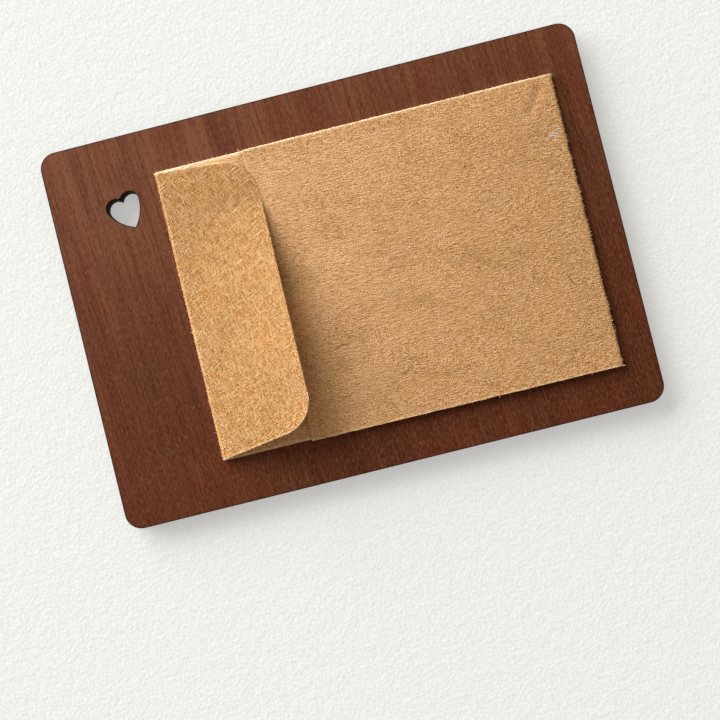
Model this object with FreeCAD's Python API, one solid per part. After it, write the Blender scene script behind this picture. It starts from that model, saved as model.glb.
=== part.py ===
import FreeCAD, Part
import math
import os

# Greeting card: a flat wooden card with a small heart cut through it, and a kraft
# paper envelope lying on its face, folded from one sheet. All sizes in millimetres.
# The origin is the centre of the card's underside, with +X along the card's length,
# +Y towards its upper long edge and +Z up through the envelope.

# Wooden card
card_length = 148.0
card_width = 104.2
card_thickness = 3.0
card_corner_radius = 4.5

# Heart cut through the card: two round lobes that run into two slightly bowed sides
heart_lobe_radius = 2.45
heart_lobe_spacing = 4.3        # from one lobe's centre to the other's
heart_lobe_to_tip = 6.95        # from the line of the lobe centres down to the tip
heart_side_radius = 11.0
heart_from_left = 19.44         # card's left edge to the point midway between the lobe centres
heart_from_top = 18.33          # card's upper edge to that point
heart_tilt = 16.4               # degrees, the tip swings to the right

# Envelope, seen with its flap at the left: one sheet makes the flap, the back panel with
# a tab folded in along each side, and the front panel that is stuck down on the tabs
paper_thickness = 0.25
pocket_height = 1.0             # outside height of the closed pocket
envelope_length = 109.0         # flap fold to the closed end
envelope_width = 80.0           # of the front panel
envelope_right_of_centre = 10.15
envelope_below_centre = 0.475
envelope_turn = -0.35           # degrees, laid a little askew on the card
mouth_from_fold = 24.5          # flap fold to the cut edge of the front panel
back_panel_step = 0.4           # the back panel stops this much short of the front one's lower side
tab_width = 9.0

# Flap, folded back over the mouth: its upper side lies down and its lower side stands open
flap_overlap = 1.95             # past the mouth, at the middle of the flap's free edge
flap_skew = 0.35                # the lower end of the free edge reaches this much further, the upper less
flap_step_top = 0.3             # the flap starts this much inside the envelope's side
flap_step_bottom = 0.5
flap_taper_top = 4.6            # degrees
flap_taper_bottom = 9.5         # degrees
flap_corner_radius = 9.4
flap_rise_top = 0.8             # degrees that the flap stands open at its upper side
flap_rise_bottom = 13.0         # degrees, at its lower side
flap_twist_start = 14.5         # from the upper side to where the flap begins to stand open
flap_twist_length = 50.0        # and from there to where it is fully open
flap_curl = 0.35                # how far the flap's middle hangs below a straight sheet where it is fully open
flap_sections = 13              # sections across the envelope's width that the flap is drawn through

# Worked out from the sizes above
fold_radius = pocket_height / 2.0                   # outside radius of the two end folds
mouth_x = mouth_from_fold - envelope_length / 2.0   # in the envelope's own frame, centred on it
fold_x = -envelope_length / 2.0
closed_x = envelope_length / 2.0
flap_depth = mouth_from_fold + flap_overlap


def vec(x, y, z=0.0):
    return FreeCAD.Vector(x, y, z)


def line(start, end):
    return Part.LineSegment(start, end).toShape()


def arc(start, middle, end):
    return Part.Arc(start, middle, end).toShape()


def prism(wire, base_z, height):
    """A closed flat wire drawn at z = 0, made solid from base_z upwards."""
    face = Part.Face(wire)
    face.translate(vec(0, 0, base_z))
    return face.extrude(vec(0, 0, height))


def rounded_plate(length, width, height, radius):
    """A flat plate on z = 0, centred on the origin, with its upright edges rounded."""
    plate = Part.makeBox(length, width, height, vec(-length / 2.0, -width / 2.0, 0))
    upright = [e for e in plate.Edges if abs(e.BoundBox.ZLength - height) < 1e-6
               and e.BoundBox.XLength < 1e-6 and e.BoundBox.YLength < 1e-6]
    return plate.makeFillet(radius, upright)


def bowed_side_centre():
    """Centre of the arc that makes the heart's right side, about the tip at (0, 0).

    The arc goes through the tip and touches the right lobe from outside, so its centre is
    heart_side_radius from the tip and that radius less the lobe's from the lobe's centre.
    """
    lobe = vec(heart_lobe_spacing / 2.0, heart_lobe_to_tip)
    to_lobe = heart_side_radius - heart_lobe_radius
    along = (lobe.Length ** 2 + heart_side_radius ** 2 - to_lobe ** 2) / (2.0 * lobe.Length)
    aside = math.sqrt(heart_side_radius ** 2 - along ** 2)
    along_lobe = vec(lobe.x, lobe.y)
    along_lobe.normalize()
    return along_lobe * along + vec(-along_lobe.y, along_lobe.x) * aside


def heart_wire():
    """The heart, point down, with its tip at the origin."""
    lobe = vec(heart_lobe_spacing / 2.0, heart_lobe_to_tip)
    side = bowed_side_centre()
    notch_rise = math.sqrt(heart_lobe_radius ** 2 - lobe.x ** 2)
    notch = vec(0, lobe.y + notch_rise)
    outward = lobe - side
    outward.normalize()
    joint = lobe + outward * heart_lobe_radius
    middle = joint * 0.5 - side
    middle.normalize()
    bulge = side + middle * heart_side_radius
    crest_angle = math.radians(45.0)
    crest = lobe + vec(math.cos(crest_angle), math.sin(crest_angle)) * heart_lobe_radius

    def mirrored(point):
        return vec(-point.x, point.y)

    tip = vec(0, 0)
    edges = [
        arc(tip, bulge, joint),
        arc(joint, crest, notch),
        arc(notch, mirrored(crest), mirrored(joint)),
        arc(mirrored(joint), mirrored(bulge), tip),
    ]
    return Part.Wire(edges)


def wooden_card():
    card = rounded_plate(card_length, card_width, card_thickness, card_corner_radius)
    heart = prism(heart_wire(), -card_thickness, 3.0 * card_thickness)
    heart.translate(vec(0, -heart_lobe_to_tip, 0))
    heart.rotate(vec(0, 0, 0), vec(0, 0, 1), heart_tilt)
    heart.translate(vec(heart_from_left - card_length / 2.0, card_width / 2.0 - heart_from_top, 0))
    return card.cut(heart)


def back_with_tabs():
    """The back panel from fold to fold, with a tab folded in over it along each side."""
    radius = (pocket_height - paper_thickness) / 2.0
    inner = radius - paper_thickness
    upper = envelope_width / 2.0
    lower = back_panel_step - envelope_width / 2.0
    upper_bend = upper - radius
    lower_bend = lower + radius
    upper_tab = upper - tab_width
    lower_tab = lower + tab_width
    tab_top = pocket_height - paper_thickness
    tab_under = tab_top - paper_thickness
    start_x = fold_x + fold_radius

    def at(y, z):
        return vec(start_x, y, z)

    profile = Part.Wire([
        line(at(lower_bend, 0), at(upper_bend, 0)),
        arc(at(upper_bend, 0), at(upper, radius), at(upper_bend, tab_top)),
        line(at(upper_bend, tab_top), at(upper_tab, tab_top)),
        line(at(upper_tab, tab_top), at(upper_tab, tab_under)),
        line(at(upper_tab, tab_under), at(upper_bend, tab_under)),
        arc(at(upper_bend, tab_under), at(upper_bend + inner, radius), at(upper_bend, paper_thickness)),
        line(at(upper_bend, paper_thickness), at(lower_bend, paper_thickness)),
        arc(at(lower_bend, paper_thickness), at(lower_bend - inner, radius), at(lower_bend, tab_under)),
        line(at(lower_bend, tab_under), at(lower_tab, tab_under)),
        line(at(lower_tab, tab_under), at(lower_tab, tab_top)),
        line(at(lower_tab, tab_top), at(lower_bend, tab_top)),
        arc(at(lower_bend, tab_top), at(lower, radius), at(lower_bend, 0)),
    ])
    return Part.Face(profile).extrude(vec(closed_x - fold_radius - start_x, 0, 0))


def front_panel():
    """The front panel with the round fold that joins it to the back panel's closed end."""
    bend = closed_x - fold_radius
    under = pocket_height - paper_thickness
    inner = fold_radius - paper_thickness

    def at(x, z):
        return vec(x, -envelope_width / 2.0, z)

    profile = Part.Wire([
        line(at(mouth_x, under), at(mouth_x, pocket_height)),
        line(at(mouth_x, pocket_height), at(bend, pocket_height)),
        arc(at(bend, pocket_height), at(closed_x, fold_radius), at(bend, 0)),
        line(at(bend, 0), at(bend, paper_thickness)),
        arc(at(bend, paper_thickness), at(bend + inner, fold_radius), at(bend, under)),
        line(at(bend, under), at(mouth_x, under)),
    ])
    return Part.Face(profile).extrude(vec(0, envelope_width, 0))


def flap_rise(side_y):
    """How far the flap stands open at a place along its fold, in degrees, fast at first."""
    share = (envelope_width / 2.0 - side_y - flap_twist_start) / flap_twist_length
    share = math.sin(math.pi / 2.0 * min(max(share, 0.0), 1.0))
    return flap_rise_top + (flap_rise_bottom - flap_rise_top) * share


def flap_section(side_y):
    """Fold and flap in section at one place along the fold, as a closed wire."""
    rise = flap_rise(side_y)
    angle = math.radians(rise)
    hang = flap_curl * rise / flap_rise_bottom
    run = vec(math.cos(angle), 0, math.sin(angle))
    up = vec(-math.sin(angle), 0, math.cos(angle))
    down = vec(0, 0, -1)
    left = vec(-1, 0, 0)
    length = (flap_depth + flap_skew) / math.cos(angle)     # cut back to its outline afterwards
    centre = vec(fold_x + fold_radius, side_y, fold_radius)
    inner_radius = fold_radius - paper_thickness
    middle = run * (length / 2.0) - up * hang
    outer_top = centre + up * fold_radius
    inner_top = centre + up * inner_radius
    outer_end = outer_top + run * length
    inner_end = inner_top + run * length
    outer_start = centre + down * fold_radius
    inner_start = centre + down * inner_radius
    return Part.Wire([
        arc(outer_start, centre + left * fold_radius, outer_top),
        arc(outer_top, outer_top + middle, outer_end),
        line(outer_end, inner_end),
        arc(inner_end, inner_top + middle, inner_top),
        arc(inner_top, centre + left * inner_radius, inner_start),
        line(inner_start, outer_start),
    ])


def flap_outline():
    """What the flap covers, seen from above, as a tall block with its free corners rounded."""
    tall = 2.0 * flap_depth
    half_width = envelope_width / 2.0
    fold_top = vec(fold_x, half_width - flap_step_top)
    fold_bottom = vec(fold_x, flap_step_bottom - half_width)
    depth_top = flap_depth - flap_skew
    depth_bottom = flap_depth + flap_skew
    free_top = fold_top + vec(depth_top, -depth_top * math.tan(math.radians(flap_taper_top)))
    free_bottom = fold_bottom + vec(depth_bottom, depth_bottom * math.tan(math.radians(flap_taper_bottom)))
    block = prism(Part.makePolygon([fold_bottom, free_bottom, free_top, fold_top, fold_bottom]), 0, tall)
    corners = [e for e in block.Edges if abs(e.BoundBox.ZLength - tall) < 1e-6
               and e.BoundBox.XMin > fold_x + fold_radius]
    return block.makeFillet(flap_corner_radius, corners)


def flap():
    spacing = envelope_width / (flap_sections - 1)
    sides = [index * spacing - envelope_width / 2.0 for index in range(flap_sections)]
    sheet = Part.makeLoft([flap_section(side_y) for side_y in sides], True, True)
    return sheet.common(flap_outline())


def kraft_envelope():
    sheet = back_with_tabs().fuse([front_panel(), flap()]).removeSplitter()
    sheet.rotate(vec(0, 0, 0), vec(0, 0, 1), envelope_turn)
    sheet.translate(vec(envelope_right_of_centre, -envelope_below_centre, card_thickness))
    return sheet


os.makedirs("parts", exist_ok=True)
for name, shape in (("wooden_card", wooden_card()), ("kraft_envelope", kraft_envelope())):
    shape.exportStep("parts/" + name + ".step")
    box = shape.BoundBox
    print(name, "solids", len(shape.Solids), "valid", shape.isValid(), "volume", round(shape.Volume, 1),
          "x", round(box.XMin, 2), round(box.XMax, 2), "y", round(box.YMin, 2), round(box.YMax, 2),
          "z", round(box.ZMin, 2), round(box.ZMax, 2))
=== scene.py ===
import math
import random

import bmesh
import bpy
from mathutils import Matrix, Vector, noise


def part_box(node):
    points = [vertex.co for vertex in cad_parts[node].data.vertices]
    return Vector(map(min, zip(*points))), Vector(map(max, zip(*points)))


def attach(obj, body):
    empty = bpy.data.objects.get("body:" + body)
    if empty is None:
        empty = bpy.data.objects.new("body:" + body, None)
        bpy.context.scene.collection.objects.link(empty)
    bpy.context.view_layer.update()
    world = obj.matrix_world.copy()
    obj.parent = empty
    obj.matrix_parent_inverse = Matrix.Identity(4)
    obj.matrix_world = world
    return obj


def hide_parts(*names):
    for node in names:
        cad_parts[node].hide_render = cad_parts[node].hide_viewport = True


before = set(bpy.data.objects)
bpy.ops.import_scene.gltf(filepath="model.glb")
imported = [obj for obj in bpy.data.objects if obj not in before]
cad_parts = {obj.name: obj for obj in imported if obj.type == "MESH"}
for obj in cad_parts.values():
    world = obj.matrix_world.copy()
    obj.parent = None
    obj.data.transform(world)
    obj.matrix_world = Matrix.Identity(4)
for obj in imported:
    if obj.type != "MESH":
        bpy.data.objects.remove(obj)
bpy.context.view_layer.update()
mm = 0.001
print("frame loaded, nodes:", ", ".join(sorted(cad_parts)))


def hexColor(code):
    # an sRGB hex value as the linear colour that the shaders use
    channels = [int(code[i:i + 2], 16) / 255 for i in (1, 3, 5)]
    linear = [c / 12.92 if c <= 0.04045 else ((c + 0.055) / 1.055) ** 2.4 for c in channels]
    return (*linear, 1.0)


def palette(codes):
    return {name: hexColor(code) for name, code in codes.items()}


def addNode(tree, kind, links=None, **settings):
    # a node with its settings; links gives each input a socket to follow or a plain value
    node = tree.nodes.new(kind)
    for name, value in settings.items():
        setattr(node, name, value)
    for socket, value in (links or {}).items():
        if isinstance(value, bpy.types.NodeSocket):
            tree.links.new(value, node.inputs[socket])
        else:
            node.inputs[socket].default_value = value
    return node


def newMaterial(name):
    material = bpy.data.materials.new(name)
    material.use_nodes = True
    material.node_tree.nodes.clear()
    return material, material.node_tree


def dullSurface(tree, color, finish, height=None, reliefMm=0.0):
    # what wood, paper and loose fibres share: a plain matt surface, with relief where it has a height
    inputs = {"Base Color": color, "Roughness": finish[0], "Specular IOR Level": finish[1]}
    if height is not None:
        bump = addNode(tree, "ShaderNodeBump", {"Height": height, "Strength": 1.0, "Distance": reliefMm * mm})
        inputs["Normal"] = bump.outputs["Normal"]
    return addNode(tree, "ShaderNodeBsdfPrincipled", inputs).outputs["BSDF"]


def newPiece(name, bm, materials, slotName=None, node=None):
    mesh = bpy.data.meshes.new(name)
    bm.to_mesh(mesh)
    bm.free()
    for material in materials:
        mesh.materials.append(material)
    piece = bpy.data.objects.new(name, mesh)
    bpy.context.collection.objects.link(piece)
    if slotName:
        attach(piece, "root")
    if node:
        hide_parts(node)
    return piece


def grainNoise(tree, coords, acrossMm, alongMm, detail=3.0, angle=0.0, distortion=0.0):
    # noise whose features are acrossMm wide and alongMm long, lying along Y before the turn
    mapping = addNode(tree, "ShaderNodeMapping", {
        "Vector": coords,
        "Rotation": (0, 0, math.radians(angle)),
        "Scale": (1.0, alongMm / acrossMm, 1.0),
    }, vector_type="TEXTURE")
    texture = addNode(tree, "ShaderNodeTexNoise", {
        "Vector": mapping.outputs["Vector"], "Scale": 1 / (acrossMm * mm), "Detail": detail,
        "Roughness": 0.55, "Distortion": distortion})
    return texture.outputs["Fac"]


rangeInputs = ("Value", "From Min", "From Max", "To Min", "To Max")


def layered(tree, color, tints, patterns, colors):
    # lays tints over the colour, one after another; a tint's share goes from first to last while
    # its pattern goes from low to high, and last may be a pattern too
    for pattern, low, high, first, last, tint in tints:
        spread = (patterns[pattern], low, high, first, patterns.get(last, last))
        share = addNode(tree, "ShaderNodeMapRange", dict(zip(rangeInputs, spread))).outputs["Result"]
        mix = addNode(tree, "ShaderNodeMix", {0: share, 6: color, 7: colors[tint]}, data_type="RGBA")
        color = mix.outputs[2]
    return color


# Camera: almost straight above, turned so that the card's long side climbs to the right

cameraSettings = {
    "position": (0.64, -25.48, 203.35),  # mm
    "aim": (-2.67, -22.41, 3.0),
    "roll": 14.06,                       # degrees, from +Y towards +X
    "lens": 37.5,
}

camera = bpy.data.objects.new("camera", bpy.data.cameras.new("camera"))
bpy.context.collection.objects.link(camera)
eye = Vector(cameraSettings["position"]) * mm
forward = (Vector(cameraSettings["aim"]) * mm - eye).normalized()
roll = math.radians(cameraSettings["roll"])
right = forward.cross(Vector((math.sin(roll), math.cos(roll), 0))).normalized()
turned = Matrix((right, right.cross(forward), -forward)).transposed().to_4x4()
camera.matrix_world = Matrix.Translation(eye) @ turned
camera.data.lens = cameraSettings["lens"]
camera.data.sensor_width = 36.0
camera.data.clip_start = 0.01
bpy.context.scene.camera = camera
bpy.context.scene.view_settings.view_transform = "Standard"
print("camera placed")


# Lights: one broad soft window low at the upper left, and even light from all round

lightSettings = {
    "windowAzimuth": 40.0,        # degrees from +Y towards -X
    "windowElevation": 15.5,
    "windowDistance": 3.4,        # m
    "windowSize": (4.7, 1.57),
    "windowPower": 360.0,         # W
    "windowColor": "#fefdfb",
    "skyStrength": 0.33,
    "skyColor": "#fdefd8",
}

azimuth = math.radians(lightSettings["windowAzimuth"])
elevation = math.radians(lightSettings["windowElevation"])
toward = Vector((-math.sin(azimuth) * math.cos(elevation),
                 math.cos(azimuth) * math.cos(elevation), math.sin(elevation)))
lamp = bpy.data.lights.new("window", "AREA")
lamp.shape = "RECTANGLE"
lamp.size, lamp.size_y = lightSettings["windowSize"]
lamp.energy = lightSettings["windowPower"]
lamp.color = hexColor(lightSettings["windowColor"])[:3]
window = bpy.data.objects.new("window", lamp)
bpy.context.collection.objects.link(window)
window.location = toward * lightSettings["windowDistance"]
window.rotation_euler = toward.to_track_quat("Z", "Y").to_euler()
world = bpy.data.worlds.new("room")
world.use_nodes = True
sky = world.node_tree.nodes["Background"]
sky.inputs["Color"].default_value = hexColor(lightSettings["skyColor"])
sky.inputs["Strength"].default_value = lightSettings["skyStrength"]
bpy.context.scene.world = world
print("lights placed")


# Floor: plain pale matt paper

floorSettings = {
    "size": 3.0,              # m
    "colors": {"pale": "#f8fcfb", "shade": "#e3e7e6"},
    # over the shade: pattern, its low and high, the tint's share at each, tint
    "tints": (("tooth", 0.3, 0.7, 0.0, 1.0, "pale"),),
    "toothMm": 0.9,
    "dimpleMm": 3.0,
    "dimpleShare": 0.8,       # how deep the dimples are beside the tooth
    "reliefMm": 0.115,
    "finish": (0.9, 0.2),     # roughness, specular level
    "lift": 0.4,              # share of plain white that the camera adds to the ground
}


def paperFloor():
    # uncoated drawing paper: a soft, even white with a faint hammered tooth
    material, tree = newMaterial("whiteDrawingPaper")
    coords = addNode(tree, "ShaderNodeTexCoord").outputs["Object"]
    tooth = grainNoise(tree, coords, floorSettings["toothMm"], floorSettings["toothMm"])
    dimple = grainNoise(tree, coords, floorSettings["dimpleMm"], floorSettings["dimpleMm"], detail=1.0)
    relief = addNode(tree, "ShaderNodeMath", {
        0: dimple, 1: floorSettings["dimpleShare"], 2: tooth}, operation="MULTIPLY_ADD").outputs[0]
    colors = palette(floorSettings["colors"])
    color = layered(tree, colors["shade"], floorSettings["tints"], {"tooth": tooth}, colors)
    paper = dullSurface(tree, color, floorSettings["finish"], relief, floorSettings["reliefMm"])
    path = addNode(tree, "ShaderNodeLightPath")
    seen = path.outputs["Is Camera Ray"]
    for ray in ("Is Glossy Ray", "Is Transmission Ray"):
        seen = addNode(tree, "ShaderNodeMath", {
            0: seen, 1: path.outputs[ray]}, operation="MAXIMUM").outputs[0]
    lift = addNode(tree, "ShaderNodeMath", {0: seen, 1: floorSettings["lift"]}, operation="MULTIPLY")
    white = addNode(tree, "ShaderNodeEmission", {"Color": (1, 1, 1, 1), "Strength": 1.0})
    lifted = addNode(tree, "ShaderNodeMixShader", {
        0: lift.outputs[0], 1: paper, 2: white.outputs["Emission"]})
    addNode(tree, "ShaderNodeOutputMaterial", {"Surface": lifted.outputs["Shader"]})
    return material


bm = bmesh.new()
bmesh.ops.create_grid(bm, x_segments=8, y_segments=8, size=floorSettings["size"] / 2)
floor = newPiece("floor", bm, [paperFloor()])
print("floor laid")


# Wooden card

cardSettings = {
    "cornerRadius": 4.5,             # mm
    "rimEase": 0.12,                 # the worn sharpness of the cut rims
    "scorchWidth": 0.4,              # how far the cutter's heat has browned the face
    "arcSteps": 14,
    "heartCentre": (-54.56, 33.77),
    "heartTilt": 16.4,               # degrees
    "lobeRadius": 2.45,
    "lobeSpacing": 4.3,
    "lobeToTip": 6.95,
    "sideRadius": 11.0,
    "colors": {
        "dark": "#4e2617",
        "light": "#8a573c",
        "even": "#6b3d28",
        # painted light towards the upper left and painted shade towards the lower right, laid by place across
        # the board
        "paintedLight": "#945f45",
        "paintedShade": "#4a1c07",
        "red": "#6d321f",
        "bloom": "#93644c",          # the dry, paler crests of the grain
        "pore": "#2c110a",
        "char": "#1a0c07",
    },
    # patterns: mm across, mm along, detail, lean from the card's short side in degrees, distortion
    "grain": {
        "bands": (3.6, 120.0, 2.0, 4.0, 0.2),
        "blush": (11.0, 40.0, 2.0, 4.0),
        "streaks": (1.0, 34.0, 4.0, 4.0),
        "silk": (0.38, 14.0, 3.0, 4.0),
        "pores": (0.28, 7.0, 2.0, 5.5),
        "fuzz": (0.2, 1.4, 2.0, 4.0),
    },
    "shadeDirection": (0.4, -1.0, 0.0),    # the way across the face towards the lower right, in which painted shade darkens the board; painted light brightens it the other way
    # over the dark wood, in this order
    "tints": (
        ("bands", 0.3, 0.7, 0.0, 1.0, "light"),
        ("bands", 0.0, 1.0, 0.55, 0.55, "even"),
        # painted light and shade: paler towards the upper left, darker towards the lower right
        ("below", -0.02, -0.05, 0.0, 0.5, "paintedLight"),
        ("below", -0.02, 0.056, 0.0, 0.69, "paintedShade"),
        ("blush", 0.42, 0.66, 0.0, 0.6, "red"),
        ("streaks", 0.36, 0.56, 0.5, 0.0, "dark"),
        ("silk", 0.5, 0.72, 0.0, 0.28, "bloom"),
        ("pores", 0.54, 0.68, 0.0, 0.45, "pore"),
        ("fuzz", 0.5, 0.28, 0.0, 0.5, "pore"),
        ("fuzz", 0.5, 0.72, 0.0, 0.48, "bloom"),
        ("charred", 0.0, 1.0, 0.0, 1.0, "char"),
    ),
    "charFade": 2.2,                 # how fast the char fades from the rim into the face
    "silkHeight": 0.5,               # how high the silk stands beside the depth of a pore
    "pits": (0.56, 0.74, 0.0, -1.0),    # the pores' low and high, and the height at each
    "reliefMm": 0.015,
    "finish": (0.6, 0.06),
}


def arcPoints(centre, radius, startDegrees, endDegrees, steps):
    # points along an arc, both ends included
    points = []
    for step in range(steps + 1):
        angle = math.radians(startDegrees + (endDegrees - startDegrees) * step / steps)
        points.append(Vector((centre[0] + radius * math.cos(angle), centre[1] + radius * math.sin(angle))))
    return points


def cardOutline(low, high):
    radius, steps = cardSettings["cornerRadius"], cardSettings["arcSteps"]
    points = []
    for x, y, start in ((high[0] - radius, high[1] - radius, 0), (low[0] + radius, high[1] - radius, 90),
                        (low[0] + radius, low[1] + radius, 180), (high[0] - radius, low[1] + radius, 270)):
        points += arcPoints((x, y), radius, start, start + 90, steps)
    return points


def heartOutline():
    # right half: a bowed side that runs from the tip into a round lobe, then its mirror
    lobe = Vector((cardSettings["lobeSpacing"] / 2, cardSettings["lobeToTip"]))
    lobeRadius, sideRadius = cardSettings["lobeRadius"], cardSettings["sideRadius"]
    steps = cardSettings["arcSteps"]
    along = (lobe.length_squared + sideRadius ** 2 - (sideRadius - lobeRadius) ** 2) / (2 * lobe.length)
    aside = math.sqrt(sideRadius ** 2 - along ** 2)
    unit = lobe.normalized()
    side = unit * along + Vector((-unit.y, unit.x)) * aside
    joint = (lobe - side).normalized()
    tipAngle = math.degrees(math.atan2(-side.y, -side.x))
    jointAngle = math.degrees(math.atan2(joint.y, joint.x))
    notch = Vector((-lobe.x, math.sqrt(lobeRadius ** 2 - lobe.x ** 2)))
    notchAngle = math.degrees(math.atan2(notch.y, notch.x))
    half = arcPoints(side, sideRadius, tipAngle, jointAngle, steps)
    half += arcPoints(lobe, lobeRadius, jointAngle, notchAngle, 2 * steps)[1:]
    mirrored = [Vector((-point.x, point.y)) for point in reversed(half[1:-1])]
    tilt = Matrix.Rotation(math.radians(cardSettings["heartTilt"]), 2)
    centre = Vector(cardSettings["heartCentre"])
    return [tilt @ (point - Vector((0, lobe.y))) + centre for point in half + mirrored]


def loopOfEdges(bm, points, z):
    verts = [bm.verts.new((point.x * mm, point.y * mm, z)) for point in points]
    return [bm.edges.new((verts[i], verts[(i + 1) % len(verts)])) for i in range(len(verts))]


def isLevel(face):
    return abs(face.normal.z) > 0.999


def woodenCard():
    low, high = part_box("wooden_card")
    bm = bmesh.new()
    scorch = bm.verts.layers.float.new("scorch")
    edges = loopOfEdges(bm, cardOutline(low / mm, high / mm), high.z)
    edges += loopOfEdges(bm, heartOutline(), high.z)
    bmesh.ops.triangle_fill(bm, edges=edges, use_beauty=True)
    board = bmesh.ops.extrude_face_region(bm, geom=bm.faces[:])
    lowered = [item for item in board["geom"] if isinstance(item, bmesh.types.BMVert)]
    bmesh.ops.translate(bm, verts=lowered, vec=(0, 0, low.z - high.z))
    bmesh.ops.recalc_face_normals(bm, faces=bm.faces)
    rims = [edge for edge in bm.edges
            if edge.calc_face_angle() > math.radians(80) and edge.verts[0].co.z == edge.verts[1].co.z]
    bmesh.ops.bevel(bm, geom=rims, offset=cardSettings["rimEase"] * mm, segments=2, profile=0.5,
                    affect="EDGES", material=-1)
    flats = [face for face in bm.faces if isLevel(face)]
    bmesh.ops.inset_region(bm, faces=flats, thickness=cardSettings["scorchWidth"] * mm,
                           use_boundary=True, use_even_offset=True)
    for face in bm.faces:
        face.smooth = not isLevel(face)
    for vert in bm.verts:
        vert[scorch] = 0.0 if all(isLevel(face) for face in vert.link_faces) else 1.0
    newPiece("card_board", bm, [scorchedVeneer()], "card_wood", "wooden_card")


def scorchedVeneer():
    # fine-pored red-brown hardwood veneer, sanded and oiled thinly, laser cut: a dull silk on the
    # face, long straight grain with short dark pores, and charred edges where the beam went
    # through; real pores are half as wide, and finer than the render can show
    material, tree = newMaterial("laserCutWalnut")
    coords = addNode(tree, "ShaderNodeTexCoord").outputs["Object"]
    patterns = {name: grainNoise(tree, coords, *sizes) for name, sizes in cardSettings["grain"].items()}
    # how far a point lies towards the lower right, which sets the painted light and shade
    patterns["below"] = addNode(tree, "ShaderNodeVectorMath", {
        0: coords, 1: cardSettings["shadeDirection"]}, operation="DOT_PRODUCT").outputs["Value"]
    scorch = addNode(tree, "ShaderNodeAttribute", attribute_name="scorch").outputs["Fac"]
    patterns["charred"] = addNode(tree, "ShaderNodeMath", {
        0: scorch, 1: cardSettings["charFade"]}, operation="POWER").outputs[0]
    colors = palette(cardSettings["colors"])
    color = layered(tree, colors["dark"], cardSettings["tints"], patterns, colors)
    spread = (patterns["pores"], *cardSettings["pits"])
    pits = addNode(tree, "ShaderNodeMapRange", dict(zip(rangeInputs, spread))).outputs["Result"]
    height = addNode(tree, "ShaderNodeMath", {
        0: patterns["silk"], 1: cardSettings["silkHeight"], 2: pits}, operation="MULTIPLY_ADD")
    wood = dullSurface(tree, color, cardSettings["finish"], height.outputs[0], cardSettings["reliefMm"])
    addNode(tree, "ShaderNodeOutputMaterial", {"Surface": wood})
    return material


woodenCard()
print("wooden card made")


# Kraft envelope: one sheet that makes flap, back panel, side tabs and front panel

envelopeSettings = {
    "length": 109.0,             # mm, flap fold to closed end
    "width": 80.0,
    "centre": (10.15, -0.475),
    "turn": -0.35,               # degrees
    "paper": 0.25,
    "pocketHeight": 1.0,
    "mouthFromFold": 24.5,
    "backStep": 0.4,             # the back panel stops this much short at its lower side
    "flapOverlap": 1.95,
    "flapSkew": 0.35,
    "flapEdgeBow": 0.3,
    "flapStepTop": 0.3,
    "flapStepBottom": 0.5,
    "flapTaperTop": 4.6,         # degrees
    "flapTaperBottom": 9.5,
    "flapCornerRadius": 9.4,
    "riseTop": 0.5,              # degrees
    "riseBottom": 13.0,
    "twistStart": 14.5,
    "twistLength": 50.0,
    "curl": 0.35,                # how far the open flap's middle hangs below a straight sheet
    "tabColumns": (0.0, 0.25, 0.5, 0.8, 2.0, 5.0, 9.0),    # mm in from the side folds
    "edgeColumns": (0.0, 0.14, 0.32, 0.55, 0.85),          # mm from the sides
    "mouthRows": (0.55, 0.32, 0.14, 0.0),                  # mm from the mouth's edge
    "columns": 156,              # between the edge columns
    "frontRows": 104,
    "backRows": 40,
    "flapRows": 30,
    "cornerRows": 16,
    "foldSteps": 8,
    "tabRows": 220,
    "edgeWander": 0.05,          # how unsteady the cut edges are
    "lip": 0.07,                 # burr that the knife leaves along the cut edges
    "upperLip": -1.6,            # the burr at the upper side points down: times the lower side's
    "lipWidth": 0.5,
    "pillow": 0.6,               # how far the front panel swells in its middle
    "waviness": 0.1,
    "calmSides": 9.0,            # mm from the sides over which the waviness dies out
    "calmEnds": 9.0,             # and from the ends, as one part in this many of the panel
    "flapWaviness": 0.2,
    "pressed": 0.12,             # how far the flap's free edge beds into the panel where it touches
    "mouthLift": 0.22,           # how far the lower half of the mouth's edge stands off the tab
    "mouthLiftRun": 28,          # over one part in this many of the panel
    "mouthLiftFrom": 0.3,        # and below this place across it, from -1 to 1
    "tabPuff": 0.24,             # how far the upper tab rises off the back panel in the open mouth
    "puffAcross": 1.6,
    "puffAlong": 2.0,
    "crease": ((46.5, 30.5), (50.5, 36.5)),
    "creaseDepth": 0.22,
    "creaseWidth": 0.8,
    # folds are scored with a row of fine cuts that leave small teeth, few of them long
    "toothDepth": 0.27,
    "toothSeed": 11,
    "toothHeights": (0.2, 2.2),
    "toothGap": -0.3,
    "toothWander": 0.4,
    # which way each fold's teeth point, their share of the depth, and how far the fold bulges
    "folds": {"flapFold": (-1, 0.45, 0.0), "endFold": (1, 1.0, 0.2)},
    # unevenness: mm across a bump, and a number that sets each pattern apart
    "bumps": {
        "teeth": (3.0, 4.0),
        "sideFine": (1.1, 7.0),
        "sideCoarse": (3.0, 2.0),
        "burr": (2.0, 6.0),
        "front": (20.0, 1.0),
        "mouth": (1.6, 5.0),
        "flap": (14.0, 9.0),
        "flapEdge": (2.0, 3.0),
        "tab": (1.4, 3.0),
    },
    # how pale and frayed the paper is worn, with painted highlight on the upper side and upper tab, which
    # face the window
    "wornLitSides": (0.35, 0.85),   # lower, upper
    "wornLitTabs": (0.4, 1.0),
    "wornLitTabWidth": 0.7,
    "wornEnd": 0.14,
    "wornCuts": 0.4,
}
env = envelopeSettings
halfLength, halfWidth = env["length"] / 2, env["width"] / 2
foldRadius = env["pocketHeight"] / 2
midRadius = foldRadius - env["paper"] / 2
startX, endX = foldRadius - halfLength, halfLength - foldRadius
mouthX = env["mouthFromFold"] - halfLength
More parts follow.
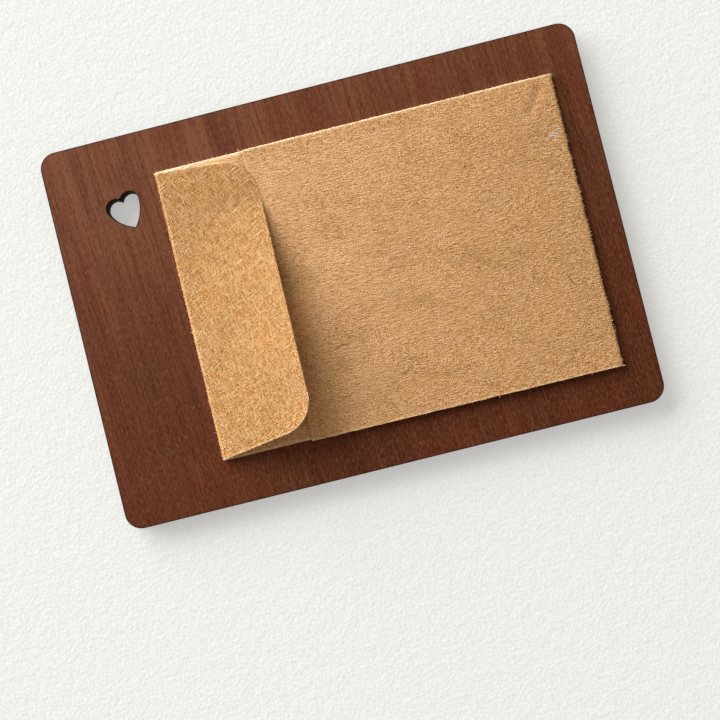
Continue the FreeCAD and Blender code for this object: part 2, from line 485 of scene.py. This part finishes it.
flapDepth = env["mouthFromFold"] + env["flapOverlap"]
tabRadius = (env["pocketHeight"] - 2 * env["paper"]) / 4
tabReach = tabRadius + env["paper"] / 2
backSides = (env["backStep"] - halfWidth + tabReach, halfWidth - tabReach)
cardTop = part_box("wooden_card")[1].z / mm


def clamp(value):
    return min(max(value, 0.0), 1.0)


def ease(value):
    value = clamp(value)
    return value * value * (3 - 2 * value)


def flapRise(v):
    # the flap lies on the panel near its upper side, then lifts quickly and levels out
    lifted = math.sin(math.pi / 2 * clamp((halfWidth - v - env["twistStart"]) / env["twistLength"]))
    return math.radians(env["riseTop"] + (env["riseBottom"] - env["riseTop"]) * lifted)


def flapSide(depth, step, taper):
    # how far from the envelope's long middle line the flap's side is, at this depth from the fold
    radius, angle = env["flapCornerRadius"], math.radians(taper)
    centreX = flapDepth - radius
    centreV = halfWidth - step - centreX * math.tan(angle) - radius / math.cos(angle)
    if depth <= centreX + radius * math.sin(angle):
        return halfWidth - step - depth * math.tan(angle)
    return centreV + math.sqrt(max(radius ** 2 - (depth - centreX) ** 2, 0.0))


def flapPoint(share, across):
    # share runs from the fold to the free edge, across from -1 at the lower to 1 at the upper side
    depth = flapDepth * share
    upper = flapSide(depth, env["flapStepTop"], env["flapTaperTop"])
    lower = -flapSide(depth, env["flapStepBottom"], env["flapTaperBottom"])
    v = lower + (upper - lower) * (across + 1) / 2
    depth += share * (env["flapEdgeBow"] * (1 - (v / halfWidth) ** 2) - env["flapSkew"] * v / halfWidth)
    rise = flapRise(v)
    run = max(depth - foldRadius, 0.0) / math.cos(rise)
    full = (flapDepth + env["flapSkew"]) / math.cos(rise)
    hang = 4 * env["curl"] * rise / math.radians(env["riseBottom"]) * (run / full) * (1 - run / full)
    u = startX + run * math.cos(rise) - (midRadius - hang) * math.sin(rise)
    w = foldRadius + run * math.sin(rise) + (midRadius - hang) * math.cos(rise)
    return Vector((u, v, w))


def sheetRows():
    # rows of the flat sheet in order: flap, flap fold, back panel, closed end, front panel
    radius = env["flapCornerRadius"]
    angles = [math.pi / 2 * (1 - step / env["cornerRows"]) for step in range(env["cornerRows"])]
    rows = [("flap", 1 - radius * (1 - math.sin(angle)) / flapDepth) for angle in angles]
    start, end = (flapDepth - radius) / flapDepth, foldRadius / flapDepth
    rows += [("flap", start + (end - start) * step / env["flapRows"]) for step in range(env["flapRows"])]
    for fold, panel, count in (("flapFold", "back", env["backRows"]), ("endFold", "front", env["frontRows"])):
        rows += [(fold, step / env["foldSteps"]) for step in range(env["foldSteps"] + 1)]
        rows += [(panel, step / count) for step in range(1, count)]
    return rows + [("front", 1 - gap / (endX - mouthX)) for gap in env["mouthRows"]]


def sheetColumns():
    # where the sheet's length lines lie, from -1 to 1, closer together at both sides
    near = [1 - gap / halfWidth for gap in env["edgeColumns"]]
    inner = near[-1]
    middle = [-inner + 2 * inner * step / env["columns"] for step in range(1, env["columns"])]
    return [-value for value in near] + middle + near[::-1]


def sheetPoint(row, across):
    # a point in the middle of the folded sheet's thickness, in the envelope's own frame, mm
    kind, share = row
    backV = backSides[0] + (backSides[1] - backSides[0]) * (across + 1) / 2
    if kind == "flap":
        return flapPoint(share, across)
    if kind == "flapFold":
        start = flapPoint(foldRadius / flapDepth, across)
        rise = flapRise(start.y)
        angle = math.pi / 2 + rise + (math.pi - rise) * share
        return Vector((startX + midRadius * math.cos(angle), start.y + (backV - start.y) * share,
                       foldRadius + midRadius * math.sin(angle)))
    if kind == "back":
        return Vector((startX + (endX - startX) * share, backV, foldRadius - midRadius))
    if kind == "endFold":
        angle = math.pi * (share - 0.5)
        return Vector((endX + midRadius * math.cos(angle), backV + (across * halfWidth - backV) * ease(share),
                       foldRadius + midRadius * math.sin(angle)))
    return Vector((endX - (endX - mouthX) * share, across * halfWidth, foldRadius + midRadius))


def wander(point, pattern):
    # smooth noise from about -1 to 1
    size, apart = env["bumps"][pattern]
    return noise.noise(Vector((point.x / size, point.y / size, apart))) * 2


def nearEdge(distance):
    return 1 - ease(distance / env["lipWidth"])


def creaseGap(point):
    # distance, mm, from the short crease near the closed end's upper corner
    start, end = (Vector(place) for place in env["crease"])
    spot = Vector((point.x, point.y))
    along = clamp((spot - start).dot(end - start) / (end - start).length_squared)
    return (start + (end - start) * along - spot).length


def cutTeeth(count):
    chance = random.Random(env["toothSeed"])
    least, most = env["toothHeights"]
    return [chance.random() ** 3 * (most - least) + least if column % 2 else env["toothGap"]
            for column in range(count)]


teeth = cutTeeth(env["columns"] + 2 * len(env["edgeColumns"]))


def roughened(point, row, across, column):
    # small teeth along the scored folds, unsteady cut edges with a burr, and the paper's swell
    kind, share = row
    side = halfWidth * (1 - abs(across))
    if kind in env["folds"]:
        outward, depthShare, bulge = env["folds"][kind]
        tooth = env["toothDepth"] * depthShare * (teeth[column] + env["toothWander"] * wander(point, "teeth"))
        point.x += outward * (tooth + bulge) * math.sin(math.pi * share)
    if side == 0:
        point.y += env["edgeWander"] * (wander(point, "sideFine") + wander(point, "sideCoarse"))
    if kind in ("front", "flap"):
        burr = env["lip"] * nearEdge(side) * (1 + wander(point, "burr"))
        point.z += burr * (env["upperLip"] if across > 0 else 1.0)
    if kind == "front":
        inward = ease(min(share, 1 - share) * env["calmEnds"]) * ease(side / env["calmSides"])
        swell = (1 - (2 * share - 1) ** 2) * (1 - across ** 2)
        point.z += env["pillow"] * swell + env["waviness"] * inward * wander(point, "front")
        lifted = (1 - ease((1 - share) * env["mouthLiftRun"])) * ease(env["mouthLiftFrom"] - across)
        point.z += env["mouthLift"] * lifted
        point.z -= env["creaseDepth"] * math.exp(-(creaseGap(point) / env["creaseWidth"]) ** 2)
        if share == 1:
            point.x += env["edgeWander"] * wander(point, "mouth")
    if kind == "flap":
        loose = (flapRise(point.y) - flapRise(halfWidth)) / math.radians(env["riseBottom"])
        point.z += env["flapWaviness"] * loose * wander(point, "flap") * ease(share * 2)
        point.z -= env["pressed"] * (1 - ease(loose * 12)) * ease(share * 8 - 7)
        if share == 1:
            point.x += env["edgeWander"] * wander(point, "flapEdge")
    return point


def onCard(point):
    # from the envelope's own frame, in mm, to the card, in metres
    turned = Matrix.Rotation(math.radians(env["turn"]), 3, "Z") @ point
    return (turned + Vector((*env["centre"], cardTop))) * mm


def mappedGrid(bm, columns, rows, place):
    # a grid of squares whose corner (column, row) is moved to where place says
    grid = bmesh.ops.create_grid(bm, x_segments=rows, y_segments=columns, size=0.5)
    for vert in grid["verts"]:
        row, column = round((vert.co.x + 0.5) * rows), round((vert.co.y + 0.5) * columns)
        place(vert, row, column)


def foldedSheet(bm, layers):
    rows, columns = sheetRows(), sheetColumns()

    def place(vert, row, column):
        kind, share = rows[row]
        across = columns[column]
        edge = nearEdge(halfWidth * (1 - abs(across)))
        fold = math.sin(math.pi * share) * (1 - edge)
        # pale wear along the edges, with painted highlight: the upper side is painted paler than the lower
        wornAndLit = edge * env["wornLitSides"][across > 0] + (env["wornEnd"] * fold if kind == "endFold" else 0.0)
        if share == 1 and kind in ("flap", "front"):
            wornAndLit = max(wornAndLit, env["wornCuts"])
        vert[layers["wornAndLit"]] = wornAndLit
        # where painted shade lies along the flap's fold
        vert[layers["foldShadeMask"]] = fold if kind == "flapFold" else 0.0
        vert[layers["flap"]] = 1.0 if kind == "flap" else 0.0
        vert.co = onCard(roughened(sheetPoint(rows[row], across), rows[row], across, column))

    mappedGrid(bm, len(columns) - 1, len(rows) - 1, place)


def sideTab(bm, layers, outward, bendV):
    # a tab folded in over the back panel; the upper one, in the open mouth, rises a little
    upper = outward > 0

    def place(vert, row, column):
        x = startX + (endX - startX) * row / env["tabRows"]
        turn = math.pi * min(column / env["foldSteps"], 1.0) - math.pi / 2
        inward = env["tabColumns"][max(column - env["foldSteps"], 0)]
        v = outward * (tabRadius * math.cos(turn) - inward) + bendV
        w = env["paper"] / 2 + tabRadius * (1 + math.sin(turn))
        if upper:
            w += env["tabPuff"] * ease(inward / env["puffAcross"]) * ease((mouthX - x) / env["puffAlong"])
        wobble = env["edgeWander"] * wander(Vector((x, outward * 9, 0)), "tab")
        # pale wear at the tab's fold, with painted highlight: the upper tab is painted paler than the lower
        vert[layers["wornAndLit"]] = env["wornLitTabs"][upper] * (1 - ease(inward / env["wornLitTabWidth"]))
        vert.co = onCard(Vector((x, v + wobble * math.cos(turn), w)))

    mappedGrid(bm, env["foldSteps"] + len(env["tabColumns"]) - 1, env["tabRows"], place)


def kraftEnvelope():
    bm = bmesh.new()
    layers = {name: bm.verts.layers.float.new(name) for name in ("flap", "wornAndLit", "foldShadeMask")}
    foldedSheet(bm, layers)
    for outward, bendV in zip((-1, 1), backSides):
        sideTab(bm, layers, outward, bendV)
    for face in bm.faces:
        face.smooth = True
    sheet = newPiece("envelope_sheet", bm, [kraftPaper(), cutKraft()], "kraft_paper", "kraft_envelope")
    solid = sheet.modifiers.new("paperThickness", "SOLIDIFY")
    solid.thickness = env["paper"] * mm
    solid.offset = 0.0
    solid.use_even_offset = False
    solid.material_offset_rim = 1


kraftSettings = {
    "colors": {
        "front": "#efb57a",
        "flap": "#f9b366",
        "pink": "#f0b788",
        # aged tone in drab patches, also laid as painted shade towards the closed end
        "agedAndShade": "#b7824a",
        "dark": "#985e28",
        "light": "#fde0b2",
        "flapLight": "#ffe2ae",
        "edge": "#fff0cc",
        "scuff": "#e6e0d6",
    },
    # patterns in the pulp: mm across, mm along, detail, degrees from +Y, distortion
    "grain": {
        "ridges": (0.36, 1.5, 3.0, 85.0, 0.3),
        "fleck": (0.3, 0.3, 2.0),
        "grit": (0.45, 0.45, 3.0, 0.0, 1.5),
        "cloud": (7.0, 7.0, 2.0),
        "drab": (6.0, 12.0, 2.0, 80.0),
    },
    "strandMm": (0.34, 3.74),
    "strandAngles": (38.0, -66.0, 8.0),     # how the flap's longer fibres lie, degrees from +Y
    # patterns that follow another one: its low and high, and what they are there
    "follow": {
        "blotched": ("flap", 0.0, 1.0, 0.6, 0.18),
        "dulled": ("flap", 0.0, 1.0, 0.45, 0.135),
        "steep": ("flap", 0.0, 1.0, 1.0, 1.15),
        "hairy": ("flap", 0.0, 1.0, 0.1, 0.85),
        "through": ("flap", 0.0, 1.0, 0.08, 0.2),    # light let through; the flap has light on both sides
        "hairs": ("longest", 0.61, 0.75, 0.0, "hairy"),
        "tangle": ("together", 1.11, 1.89, -0.08, 0.64),
        "specks": ("grit", 0.1, 0.9, -0.27, 0.71),
        # painted shade at the flap's fold, broken up by the flecks
        "foldShadeShare": ("fleck", 0.62, 0.4, 0.7, 1.0),
        "frayedAndLit": ("fleck", 0.3, 0.5, 0.5, 1.0),
    },
    # over the front panel's colour, laid as on the card
    "tints": (
        ("flap", 0.0, 1.0, 0.0, 1.0, "flap"),
        ("cloud", 0.4, 0.62, 0.0, "blotched", "pink"),
        ("drab", 0.5, 0.7, 0.0, "dulled", "agedAndShade"),
        # painted shade: the front panel darkens towards the closed end, away from the window
        ("along", -0.025, 0.06, 0.0, 0.5, "agedAndShade"),
        ("form", 0.5, 0.3, 0.0, 0.47, "dark"),
        ("form", 0.5, 0.7, 0.0, 0.42, "light"),
        ("fleck", 0.5, 0.3, 0.0, 0.7, "dark"),
        ("fleck", 0.5, 0.7, 0.0, 0.7, "light"),
        ("hairs", 0.0, 1.0, 0.0, 0.7, "light"),
        # painted shade: the flap's fold is darkened along its bend
        ("foldShadeMask", 0.0, 1.0, 0.0, "foldShadeShare", "dark"),
        # pale wear along the edges, and painted highlight on the upper ones
        ("wornAndLit", 0.0, 1.0, 0.0, "frayedAndLit", "edge"),
        ("scuffed", 0.0, 1.0, 0.0, "clinging", "scuff"),
    ),
    "lightTint": (("flap", 0.0, 1.0, 0.0, 1.0, "flapLight"),),
    "cutTint": (("fleck", 0.3, 0.7, 0.0, 0.5, "light"),),
    "relief": (("fleck", 0.5), ("hairs", 0.3), ("form", "steep")),    # what each adds to the height
    "reliefMm": 0.27,
    "scuffs": ((61.7, 22.8, 1.8), (63.3, 24.4, 1.1), (60.7, 21.2, 0.9)),    # x, y, radius in mm
    "scuffCore": 0.2,        # share of the radius that is rubbed fully
    "clinging": (0.42, 0.6, 0.0, 0.85),    # the pale residue keeps to the ridges
    "finish": (0.85, 0.2),
    "cutFinish": (0.9, 0.2),
}


def scuffSpots(tree, coords):
    # small rubbed spots near the closed end
    flat = addNode(tree, "ShaderNodeVectorMath", {0: coords, 1: (1, 1, 0)}, operation="MULTIPLY").outputs[0]
    spots = 0.0
    for x, y, radius in kraftSettings["scuffs"]:
        gap = addNode(tree, "ShaderNodeVectorMath", {0: flat, 1: (x * mm, y * mm, 0)}, operation="DISTANCE")
        spot = addNode(tree, "ShaderNodeMapRange", {
            "Value": gap.outputs["Value"], "From Min": radius * mm,
            "From Max": radius * mm * kraftSettings["scuffCore"]}).outputs["Result"]
        spots = addNode(tree, "ShaderNodeMath", {0: spots, 1: spot}, operation="MAXIMUM").outputs[0]
    return spots


def pulpPatterns(tree, coords):
    # felted pulp: long low ridges on the panels, tangled strands and grit on the flap
    patterns = {name: grainNoise(tree, coords, *sizes) for name, sizes in kraftSettings["grain"].items()}
    for name in ("flap", "wornAndLit", "foldShadeMask"):
        patterns[name] = addNode(tree, "ShaderNodeAttribute", attribute_name=name).outputs["Fac"]
    strands = [grainNoise(tree, coords, *kraftSettings["strandMm"], detail=1.0, angle=angle, distortion=0.3)
               for angle in kraftSettings["strandAngles"]]
    for name, operation in (("together", "ADD"), ("longest", "MAXIMUM")):
        pair = addNode(tree, "ShaderNodeMath", {0: strands[0], 1: strands[1]}, operation=operation)
        patterns[name] = addNode(tree, "ShaderNodeMath", {
            0: pair.outputs[0], 1: strands[2]}, operation=operation).outputs[0]
    for name, numbers in kraftSettings["follow"].items():
        spread = (patterns.get(value, value) for value in numbers)
        follower = addNode(tree, "ShaderNodeMapRange", dict(zip(rangeInputs, spread)))
        patterns[name] = follower.outputs["Result"]
    felt = addNode(tree, "ShaderNodeMath", {0: patterns["tangle"], 1: patterns["specks"]}, operation="ADD")
    patterns["form"] = addNode(tree, "ShaderNodeMix", {
        0: patterns["flap"], 2: patterns["ridges"], 3: felt.outputs[0]}, data_type="FLOAT").outputs[0]
    # the sheet's X, which sets the painted shade towards the closed end
    patterns["along"] = addNode(tree, "ShaderNodeSeparateXYZ", {"Vector": coords}).outputs["X"]
    patterns["scuffed"] = scuffSpots(tree, coords)
    clinging = dict(zip(rangeInputs, (patterns["form"], *kraftSettings["clinging"])))
    patterns["clinging"] = addNode(tree, "ShaderNodeMapRange", clinging).outputs["Result"]
    return patterns


def kraftPaper():
    # unbleached kraft paper, machine made and uncoated: matt tan pulp, cloudy, its surface felted
    # with low ridges and loose fibres that the light picks out; real fibres are about 0.03 mm
    # thick, and are drawn ten times as coarse so that they show
    material, tree = newMaterial("uncoatedKraft")
    coords = addNode(tree, "ShaderNodeTexCoord").outputs["Object"]
    patterns = pulpPatterns(tree, coords)
    colors = palette(kraftSettings["colors"])
    colors["light"] = layered(tree, colors["light"], kraftSettings["lightTint"], patterns, colors)
    color = layered(tree, colors["front"], kraftSettings["tints"], patterns, colors)
    height = 0.0
    for name, share in kraftSettings["relief"]:
        height = addNode(tree, "ShaderNodeMath", {
            0: patterns[name], 1: patterns.get(share, share), 2: height}, operation="MULTIPLY_ADD").outputs[0]
    paper = dullSurface(tree, color, kraftSettings["finish"], height, kraftSettings["reliefMm"])
    glow = addNode(tree, "ShaderNodeBsdfTranslucent", {"Color": color})
    blend = addNode(tree, "ShaderNodeMixShader", {
        0: patterns["through"], 1: paper, 2: glow.outputs["BSDF"]})
    addNode(tree, "ShaderNodeOutputMaterial", {"Surface": blend.outputs["Shader"]})
    return material


def cutKraft():
    # the same paper where it is cut through: open pale fibres
    material, tree = newMaterial("cutKraftEdge")
    coords = addNode(tree, "ShaderNodeTexCoord").outputs["Object"]
    fleck = grainNoise(tree, coords, *kraftSettings["grain"]["fleck"][:2])
    colors = palette(kraftSettings["colors"])
    color = layered(tree, colors["edge"], kraftSettings["cutTint"], {"fleck": fleck}, colors)
    paper = dullSurface(tree, color, kraftSettings["cutFinish"])
    addNode(tree, "ShaderNodeOutputMaterial", {"Surface": paper})
    return material


kraftEnvelope()
print("envelope folded")


# Loose fibres: fuzz on the folds and cut edges, and a few longer ones pressed into the paper

fibreSettings = {
    "seed": 7,
    "thickness": 0.055,            # mm; about twice a real fibre, so that it shows
    "tipShare": 0.35,              # how thick a fibre's ends are beside its middle
    "joints": 6,
    "color": "#f3d9a8",
    "darkColor": "#402210",
    "finish": (0.9, 0.2),
    "edgeCount": 340,
    "edgeLength": (0.2, 0.62),
    "edgeThickness": (0.6, 1.2),   # times the thickness
    "edgeBend": 0.25,
    "edgeLean": 0.9,
    "rooted": (0.05, 0.1),         # mm that the fuzz starts inside the ends and the sides
    # fuzz on each edge: least and most height as a share of the pocket's, least and most rise
    "fuzz": {
        "closedEnd": (0.4, 0.9, -0.3, 0.4),
        "flapFold": (0.5, 0.9, -0.2, 0.4),
        "upperSide": (0.5, 0.85, -0.2, 0.5),
        "lowerSide": (0.85, 0.85, -0.2, 0.4),
    },
    # torn tips at two corners, in the envelope's own frame: x, y, height, length, direction
    "spurs": ((54.2, -39.75, 0.75, 0.9, -15), (-30.9, 39.6, 0.8, 1.0, 110)),
    "spurThickness": 3,
    # longer dark ones on the front panel: x, y, length, direction in degrees, bend, times the thickness
    "stray": (
        (56.2, -13.9, 3.6, -62, 0.12, 2.8),
        (7.0, -28.6, 2.6, 20, 0.1, 1.7),
        (-9.1, -18.4, 5.0, 9, -0.12, 1.7),
        (6.3, 31.3, 2.7, -59, 0.05, 1.6),
        (27.6, -36.0, 0.5, 10, 0.0, 2.6),
        (14.0, 12.4, 1.2, -25, 0.1, 1.5),
        (36.5, 20.4, 1.2, 65, 0.1, 1.5),
        (33.0, -6.2, 1.3, 5, 0.1, 1.5),
        (49.6, 2.6, 1.0, -70, 0.1, 1.6),
    ),
}


def fibre(bm, start, direction, length, bend, thick):
    # a thin three-sided strand, rolled from a grid, that bends sideways and tapers to both ends;
    # its places are in metres, and thick is its thickness beside the one in the settings
    side = direction.cross(Vector((0, 0, 1)))
    side = side.normalized() if side.length > 0.1 else Vector((1, 0, 0))
    lift = side.cross(direction).normalized()
    tip, joints = fibreSettings["tipShare"], fibreSettings["joints"]

    def place(vert, joint, corner):
        t = joint / joints
        turn = math.pi / 2 + math.tau * corner / 3
        size = fibreSettings["thickness"] * mm * thick * (tip + (1 - tip) * math.sin(math.pi * t))
        spine = start + direction * length * t + side * bend * length * 4 * t * (1 - t)
        vert.co = spine + (side * math.cos(turn) + lift * math.sin(turn)) * size

    mappedGrid(bm, 3, joints, place)


def fibrePiece(name, bm, materialName, color):
    # the strands' seams and ends are closed; single pulp fibres are matt and a little paler or
    # darker than the sheet
    bmesh.ops.remove_doubles(bm, verts=bm.verts, dist=0.0001 * mm)
    bmesh.ops.holes_fill(bm, edges=bm.edges, sides=3)
    bmesh.ops.recalc_face_normals(bm, faces=bm.faces)
    material, tree = newMaterial(materialName)
    strand = dullSurface(tree, hexColor(color), fibreSettings["finish"])
    addNode(tree, "ShaderNodeOutputMaterial", {"Surface": strand})
    newPiece(name, bm, [material], "kraft_paper")


def edgeFibres():
    chance = random.Random(fibreSettings["seed"])
    bm = bmesh.new()
    count = fibreSettings["edgeCount"]
    tipX, sideV = halfLength - fibreSettings["rooted"][0], halfWidth - fibreSettings["rooted"][1]
    for index in range(count):
        side = index % 4
        along = 2 * (index + chance.random()) / count - 1
        lean = chance.uniform(-fibreSettings["edgeLean"], fibreSettings["edgeLean"])
        if side == 0 or (side == 3 and index % 3 == 0):
            edge, place, out = "closedEnd", (tipX, along * halfWidth), (1, lean)
        elif side == 1 and index % 3 == 0:
            edge, place, out = "flapFold", (-tipX, along * (halfWidth - env["flapStepBottom"])), (-1, lean)
        elif side == 2:
            edge, place, out = "upperSide", (along * halfLength, sideV), (lean, 1)
        elif index % 5 == 0:
            spot = mouthX + (halfLength - mouthX) * (along + 1) / 2
            edge, place, out = "lowerSide", (spot, -sideV), (lean, -1)
        else:
            continue
        low, high, least, most = fibreSettings["fuzz"][edge]
        height = env["pocketHeight"] * (chance.uniform(low, high) if low < high else low)
        direction = Vector((*out, chance.uniform(least, most))).normalized()
        length = chance.uniform(*fibreSettings["edgeLength"]) * mm
        bend = chance.uniform(-fibreSettings["edgeBend"], fibreSettings["edgeBend"])
        thick = chance.uniform(*fibreSettings["edgeThickness"])
        fibre(bm, onCard(Vector((*place, height))), direction, length, bend, thick)
    for x, y, z, length, heading in fibreSettings["spurs"]:
        out = Vector((math.cos(math.radians(heading)), math.sin(math.radians(heading)), 0.1))
        fibre(bm, onCard(Vector((x, y, z))), out.normalized(), length * mm, 0.1,
              fibreSettings["spurThickness"])
    fibrePiece("edge_fibres", bm, "palePulpFibre", fibreSettings["color"])


def onFront(x, y):
    # the place on the front panel's face above a point of the card, mm, in metres
    spot = Matrix.Rotation(math.radians(-env["turn"]), 2) @ (Vector((x, y)) - Vector(env["centre"]))
    row, across = ("front", (endX - spot.x) / (endX - mouthX)), spot.y / halfWidth
    return onCard(roughened(sheetPoint(row, across), row, across, 0) + Vector((0, 0, env["paper"] / 2)))


def strayFibres():
    bm = bmesh.new()
    for x, y, length, heading, bend, thick in fibreSettings["stray"]:
        angle = math.radians(heading)
        start, end = onFront(x, y), onFront(x + length * math.cos(angle), y + length * math.sin(angle))
        fibre(bm, start, (end - start).normalized(), (end - start).length, bend, thick)
    fibrePiece("stray_fibres", bm, "darkPulpFibre", fibreSettings["darkColor"])


edgeFibres()
strayFibres()
print("fibres added")
